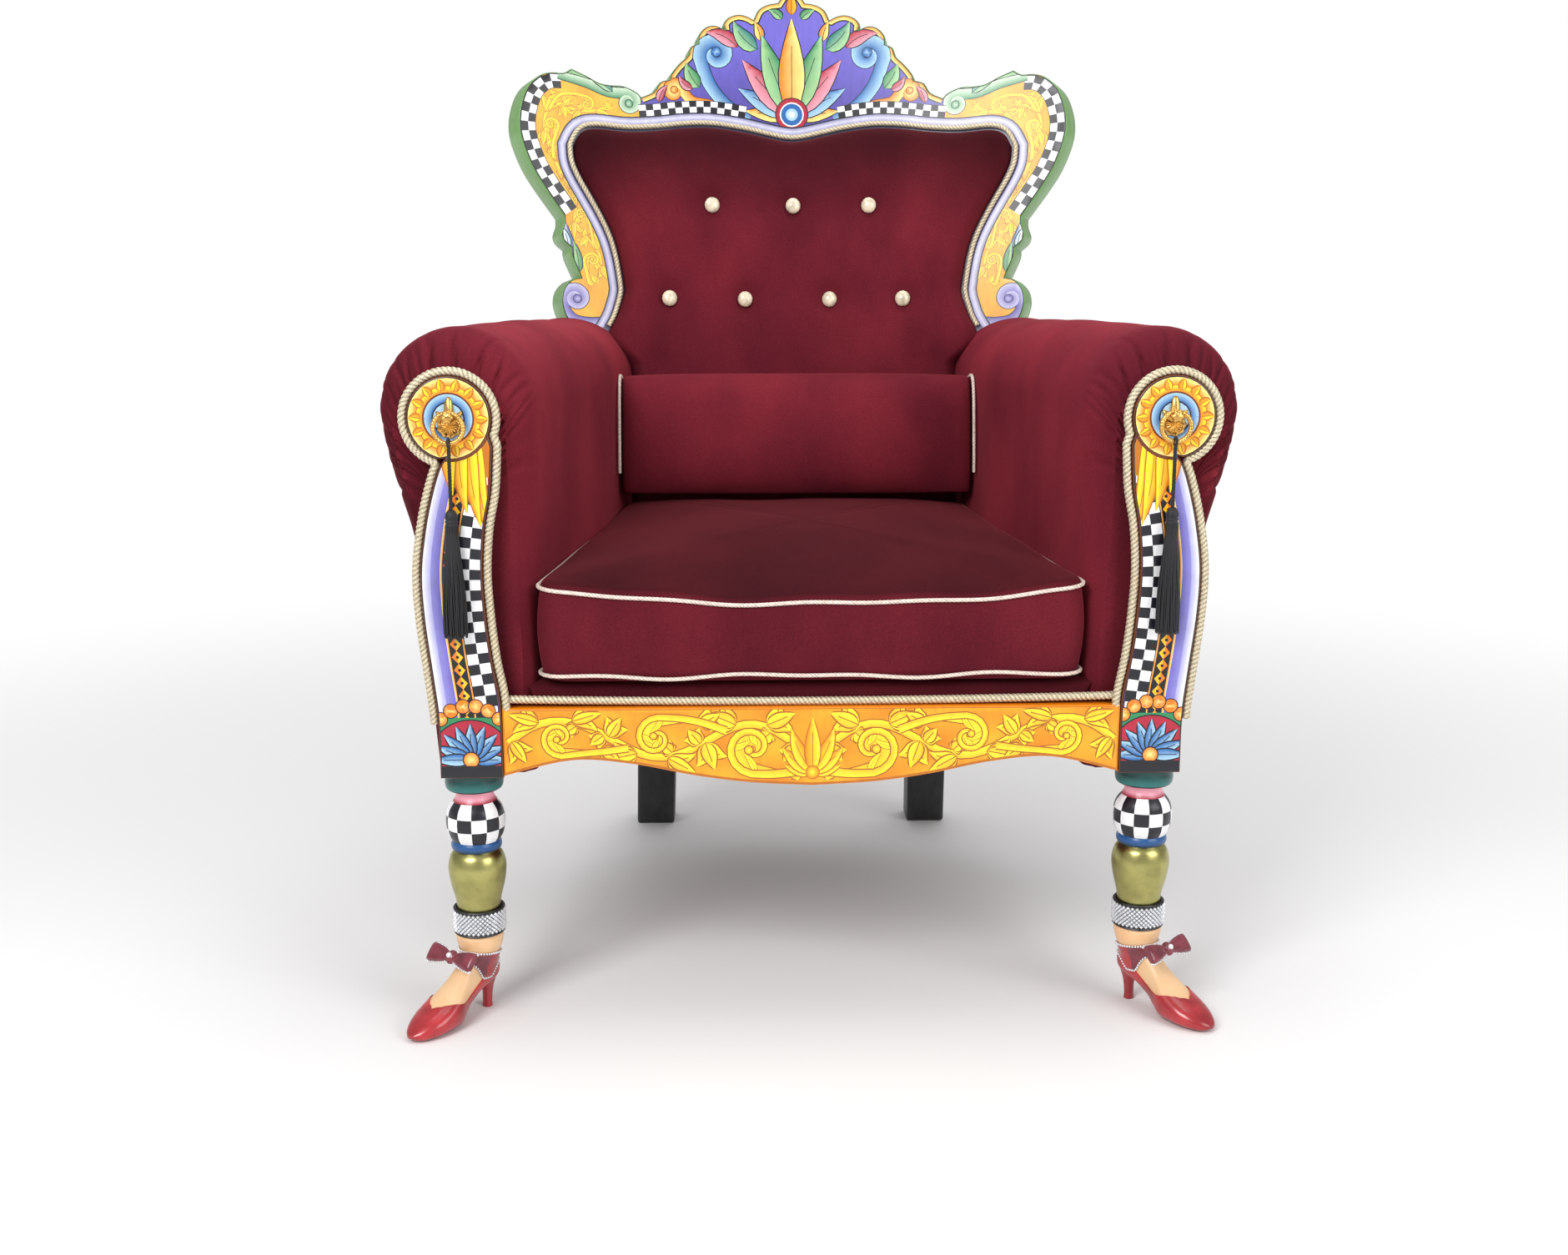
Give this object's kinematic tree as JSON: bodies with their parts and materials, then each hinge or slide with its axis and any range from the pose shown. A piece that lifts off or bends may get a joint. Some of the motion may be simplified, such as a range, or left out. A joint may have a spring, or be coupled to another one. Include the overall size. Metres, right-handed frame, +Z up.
{
  "type": "throne",
  "caption": "Ceremonial armchair with a curved painted back board, buttoned velvet back, rolled arms with tasselled ring pulls, loose cushions and front legs ending in heeled shoes",
  "frame": {"origin": "on the floor, under the middle of the throne's box", "axes": "+Z up, -Y to the front, +X to the right of someone who looks at the front"},
  "size_m": [0.9716, 0.862, 1.2863],
  "materials": {
    "velvet": "burgundy velvet",
    "painted_wood": "hand-painted and varnished",
    "braid": "twisted metallic braid",
    "piping": "satin piping",
    "button": "pearly satin",
    "brass": "polished",
    "tassel": "black thread",
    "gilt_wood": "gilt and painted",
    "stones": "set stones",
    "shoe": "gloss paint",
    "bow": "gloss paint",
    "black_wood": "black stain"
  },
  "bodies": {
    "root": {"back_pad": "velvet", "outside_back": "velvet", "seat_deck": "velvet", "seat_cushion": "velvet", "lumbar_cushion": "velvet", "left_arm": "velvet", "right_arm": "velvet", "back_board": "painted_wood", "front_apron": "painted_wood", "left_arm_front": "painted_wood", "right_arm_front": "painted_wood", "back_braid": "braid", "apron_cord": "braid", "left_arm_cord": "braid", "right_arm_cord": "braid", "seat_piping_top": "piping", "seat_piping_bottom": "piping", "left_lumbar_piping": "piping", "right_lumbar_piping": "piping", "back_button_1": "button", "back_button_2": "button", "back_button_3": "button", "back_button_4": "button", "back_button_5": "button", "back_button_6": "button", "back_button_7": "button", "left_pull_plate": "brass", "right_pull_plate": "brass", "left_pull_ring": "brass", "right_pull_ring": "brass", "left_tassel_cord": "tassel", "right_tassel_cord": "tassel", "left_tassel": "tassel", "right_tassel": "tassel", "left_front_leg": "gilt_wood", "right_front_leg": "gilt_wood", "left_ankle_band": "stones", "right_ankle_band": "stones", "left_foot": "shoe", "right_foot": "shoe", "left_bow": "bow", "right_bow": "bow", "left_back_leg": "black_wood", "right_back_leg": "black_wood"}
  },
  "joints": []
}
